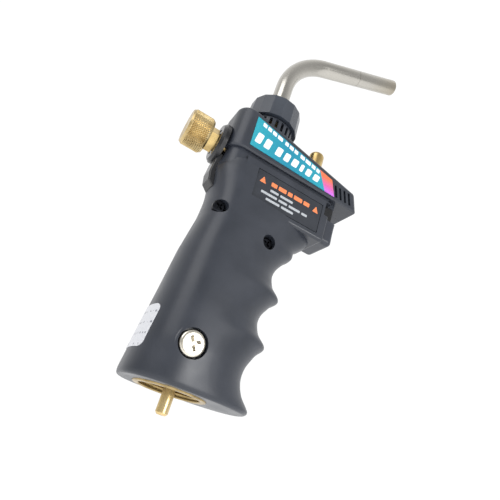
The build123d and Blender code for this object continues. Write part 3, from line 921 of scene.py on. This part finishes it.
@dataclass
class Labels:
    """Printed marks on the side sticker and the warning plaque, with sizes in millimetres."""

    marks: PrintedMarks = field(default_factory=PrintedMarks)
    bars: tuple[float, ...] = (2.2, 2.2, 2.4, 3.0, 2.0, 2.4, 2.2, 2.6, 3.2, 2.4, 2.0)
    bar_start: tuple[float, float] = (-4.6, 127.0)
    bar_height: float = 2.1
    bar_gap: float = 0.75
    bar_group_gap: float = 1.7
    bar_group_ends: tuple[int, int] = (3, 6)
    blocks: tuple[float, ...] = (4.2, 4.2, 4.2, 3.9, 4.2, 2.8, 3.9, 4.2)
    block_start: tuple[float, float] = (-6.2, 117.3)
    block_height: float = 6.0
    block_fall: float = 0.05
    block_shrink: float = 0.06
    block_lean: float = 0.9
    block_gap: float = 0.8
    block_group_gap: float = 2.4
    triangle_x: tuple[float, float] = (3.0, 33.4)
    triangle_side: float = 3.4
    triangle_z: float = 99.6
    heading: tuple[float, ...] = (3.2, 4.4, 2.6, 4.8, 3.4)
    heading_start: tuple[float, float] = (9.2, 100.2)
    heading_height: float = 2.2
    heading_gap: float = 0.9
    line_height: float = 1.25
    line_gap: float = 1.0

    def sticker(self, white: bpy.types.Material) -> None:
        """Prints a plain two-row pattern of bars on the side sticker.

        Args:
            white: White ink.
        """
        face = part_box("side_sticker")[0][1]
        x, z = self.bar_start
        for index, length in enumerate(self.bars):
            self.marks.slab(f"sticker_bar_{index}", (x, z + TOP_SLOPE * x),
                            (length, self.bar_height), TOP_SLOPE, face, "sticker_film", white)
            x += length + (self.bar_group_gap if index in self.bar_group_ends else self.bar_gap)
        x, z = self.block_start
        for index, length in enumerate(self.blocks):
            run = x - self.block_start[0]
            low = z - self.block_fall * run
            tall = self.block_height - self.block_shrink * run
            corners = [(x, low), (x + length - self.block_lean, low - 0.1),
                       (x + length, low + tall - 0.2), (x + self.block_lean, low + tall)]
            self.marks.plate(f"sticker_block_{index}", corners, face, "sticker_film", white, 0.7)
            x += length + (self.block_group_gap if index == 1 else self.block_gap)

    def plaque(self, orange: bpy.types.Material, grey: bpy.types.Material) -> None:
        """Prints warning triangles and plain bars on the plaque.

        Args:
            orange: Orange ink.
            grey: Light grey ink.
        """
        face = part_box("caution_plaque")[0][1]
        side, z = self.triangle_side, self.triangle_z
        for index, x in enumerate(self.triangle_x):
            corners = [(x, z), (x + side, z), (x + side / 2, z + side)]
            self.marks.plate(f"plaque_triangle_{index}", corners, face, "plaque_plate", orange,
                             0.35)
        x, z = self.heading_start
        for index, length in enumerate(self.heading):
            self.marks.slab(f"plaque_heading_{index}", (x, z), (length, self.heading_height), 0,
                            face, "plaque_plate", orange)
            x += length + self.heading_gap
        rows = [(97.2, 9.6, (4.6, 7.2)), (94.6, 5.2, (8.8, 4.8, 6.4, 3.2)), (92.0, 8.6, (7.6, 6.8))]
        for row, (z, start, lengths) in enumerate(rows):
            x = start
            for index, length in enumerate(lengths):
                name = f"plaque_line_{row}_{index}"
                self.marks.slab(name, (x, z), (length, self.line_height), 0, face,
                                "plaque_plate", grey)
                x += length + self.line_gap

    def build(self) -> None:
        """Prints the sticker's and the plaque's marks."""
        white = PrintInk("white_screen_ink", "f2f4f5", "e6eaec", 0.35).material()
        orange = PrintInk("orange_screen_ink", "ef8a55", "e07a48").material()
        grey = PrintInk("grey_screen_ink", "b9bdc2", "a4a9ae").material()
        self.sticker(white)
        self.plaque(orange, grey)


@dataclass
class Studio:
    """Camera, pale floor and soft light."""

    target: Vector = field(default_factory=lambda: Vector((13.82, 0, 71.56)) * MM)
    distance: float = 209.82 * MM
    azimuth_deg: float = -20.827
    elevation_deg: float = -25.326
    roll_deg: float = 18.044
    lens: float = 32.34
    floor_z: float = -0.3
    floor_glow: float = 0.45
    dim: float = 0.5
    bright: float = 1.05

    def back(self) -> Vector:
        """Gives the direction from the torch towards the camera."""
        a, e = math.radians(self.azimuth_deg), math.radians(self.elevation_deg)
        return Vector((math.sin(a) * math.cos(e), -math.cos(a) * math.cos(e), math.sin(e)))

    def camera(self) -> None:
        """Sets the camera beside and below the torch, looking up and rolled."""
        r = math.radians(self.roll_deg)
        back = self.back()
        right = (-back).cross(Vector((0, 0, 1))).normalized()
        up = back.cross(right)
        across = math.cos(r) * right + math.sin(r) * up
        above = math.cos(r) * up - math.sin(r) * right
        data = bpy.data.cameras.new("view")
        data.lens = self.lens
        data.sensor_width = 36.0
        data.clip_start = 0.01
        rig = bpy.data.objects.new("view", data)
        turn = Matrix((across, above, back)).transposed().to_4x4()
        rig.matrix_world = Matrix.Translation(self.target + back * self.distance) @ turn
        bpy.context.scene.collection.objects.link(rig)
        bpy.context.scene.camera = rig

    def floor(self) -> None:
        """Lays a wide pale floor."""
        deselect()
        bpy.ops.mesh.primitive_plane_add(size=6, location=(0, 0, self.floor_z))
        ground = bpy.context.object
        ground.name = "floor"
        material, tree, shader, place = start_material("pale_floor")
        cloud = add_node(tree, "ShaderNodeTexNoise", {"Vector": place, "Scale": 4.0})
        colour = ramp(tree, cloud.outputs["Fac"], [(0.3, "f6f6f6"), (0.7, "fcfcfc")])
        tree.links.new(colour, shader.inputs["Base Color"])
        tree.links.new(colour, shader.inputs["Emission Color"])
        shader.inputs["Emission Strength"].default_value = self.floor_glow
        shader.inputs["Roughness"].default_value = 0.8
        ground.data.materials.append(material)

    def room(self) -> None:
        """Surrounds the torch with white light, dimmer behind the camera than ahead of it."""
        world = bpy.data.worlds.new("white_room")
        world.use_nodes = True
        tree = world.node_tree
        sky = tree.nodes["Background"]
        sky.inputs["Color"].default_value = (1, 1, 1, 1)
        look = add_node(tree, "ShaderNodeTexCoord").outputs["Generated"]
        ahead = add_node(tree, "ShaderNodeVectorMath", {0: look, 1: tuple(-self.back())},
                         operation="DOT_PRODUCT")
        glow = add_node(tree, "ShaderNodeMapRange",
                        {"Value": ahead.outputs["Value"], "From Min": -0.3, "From Max": 0.45,
                         "To Min": self.dim, "To Max": self.bright})
        tree.links.new(glow.outputs["Result"], sky.inputs["Strength"])
        bpy.context.scene.world = world

    def lamp(self, name: str, place: tuple[float, float, float], watts: float,
             size: float) -> None:
        """Hangs one soft square light that points at the torch.

        Args:
            name: Name of the light.
            place: Where it hangs.
            watts: Its power.
            size: Its side.
        """
        data = bpy.data.lights.new(name, "AREA")
        data.energy = watts
        data.size = size
        lamp = bpy.data.objects.new(name, data)
        lamp.location = place
        lamp.rotation_euler = (Vector(place) - self.target).to_track_quat("Z", "Y").to_euler()
        bpy.context.scene.collection.objects.link(lamp)

    def build(self) -> None:
        """Sets up the whole studio."""
        self.camera()
        self.floor()
        self.room()
        bpy.context.scene.view_settings.view_transform = "Standard"
        self.lamp("key", (0.36, -0.88, 0.14), 3.2, 0.2)
        self.lamp("fill", (-0.6, -0.5, 0.6), 2.5, 0.6)


@dataclass
class Finishes:
    """Dresses the CAD nodes."""

    def build(self) -> None:
        """Gives every CAD node its finish."""
        shell = MouldedPlastic("nylon_moulded_blue_grey", "2b2f37", "31353e", 0.36).material()
        dress(("right_shell", "left_shell"), shell)
        dress(("trigger",),
              MouldedPlastic("nylon_moulded_trigger", "2c3038", "323640", 0.34).material())
        black = MouldedPlastic("acetal_moulded_black", "0f1013", "17181c", 0.24,
                               specular=0.6).material()
        dress(("rear_bezel", "trigger_slide", "piezo_igniter", "piezo_plunger"), black)
        brass = TurnedMetal("brass_turned", "cfb57c", "a98f5c", Axis.Z).material()
        # The pin's brass is a lighter copy of the turned brass: a painted highlight.
        dress(("inlet_pin",),
              TurnedMetal("brass_turned_pin_painted_highlight", "dcc594", "c2a970", Axis.Z, 0.34).material())
        dress(("cylinder_socket", "regulator_body", "mixing_tube", "jet_nozzle",
               "lock_button"), brass)
        across = TurnedMetal("brass_turned_along_x", "cfb57c", "a98f5c", Axis.X).material()
        dress(("gland_nut", "valve_body"), across)
        dress(("inlet_filter",), PrintInk("bronze_sintered", "8d7448", "6f5a38", 0.6).material())
        rubber = Rubber("nitrile_rubber_moulded").material()
        dress(("inlet_seal", "regulator_diaphragm", "stem_o_ring"), rubber)
        dress(("ignition_lead",),
              Rubber("silicone_insulation_extruded", "1b1b1c", "29292c").material())
        wire = TurnedMetal("spring_wire_drawn", "9a9b9e", "7d7e82", Axis.Z, 0.3).material()
        dress(("regulator_spring", "trigger_spring", "lock_spring", "retaining_ring"), wire)
        dress(("regulator_cap",),
              TurnedMetal("zinc_die_cast", "a9abb0", "8d9096", Axis.Z, 0.45).material())
        dress(("gas_tube",),
              TurnedMetal("copper_drawn", "c77f56", "9a5c3c", Axis.Z, 0.3).material())
        dress(("valve_stem", "valve_plunger", "spark_electrode", "lock_bracket"),
              TurnedMetal("steel_turned", "b3b4b6", "909194", Axis.X, 0.3).material())
        dress(("collar",),
              MouldedPlastic("powder_coat_grey", "30353e", "373d47", 0.3, 0.25, 0.01,
                             0.6).material())
        dress(("burn_tube", "flame_holder"), DrawnTube("stainless_drawn").material())
        dress(("electrode_insulator",),
              PrintInk("alumina_fired", "ece9df", "dedacd", 0.4).material())
        dress(("anchor_screws",),
              TurnedMetal("nickel_plated_steel", "cfcabd", "b5afa2", Axis.Y, 0.28).material())
        dress(("housing_screws",),
              TurnedMetal("black_oxide_steel", "1b1c20", "2a2c31", Axis.Y, 0.3).material())
        dress(("side_sticker",), PrintedFilm("vinyl_film_printed").material())
        dress(("caution_plaque",),
              MouldedPlastic("plaque_moulded", "262a31", "2b2f37", 0.34).material())
        dress(("rear_label",), LabelPaper("paper_label_printed").material())


def main() -> None:
    """Builds the torch's looks in order."""
    logging.basicConfig(level=logging.INFO, format="%(name)s: %(message)s")
    Studio().build()
    Finishes().build()
    # The socket's brass is a darker copy of the turned brass: painted shade for the ring set in the
    # handle's foot.
    ThreadedSocket().build(
        TurnedMetal("brass_turned_socket_painted_shade", "ab966a", "86734a", Axis.Z, 0.3).material())
    FlameKnob().build(TurnedMetal("brass_knurled", "cdb88a", "a58d5e", Axis.X, 0.3).material())
    BigScrews().build(
        TurnedMetal("nickel_plated_head", "d4cfc3", "bdb7aa", Axis.Y, 0.25).material())
    BurnTube().build(DrawnTube("stainless_drawn_tube").material())
    Labels().build()
    deselect()


if __name__ == "__main__":
    main()
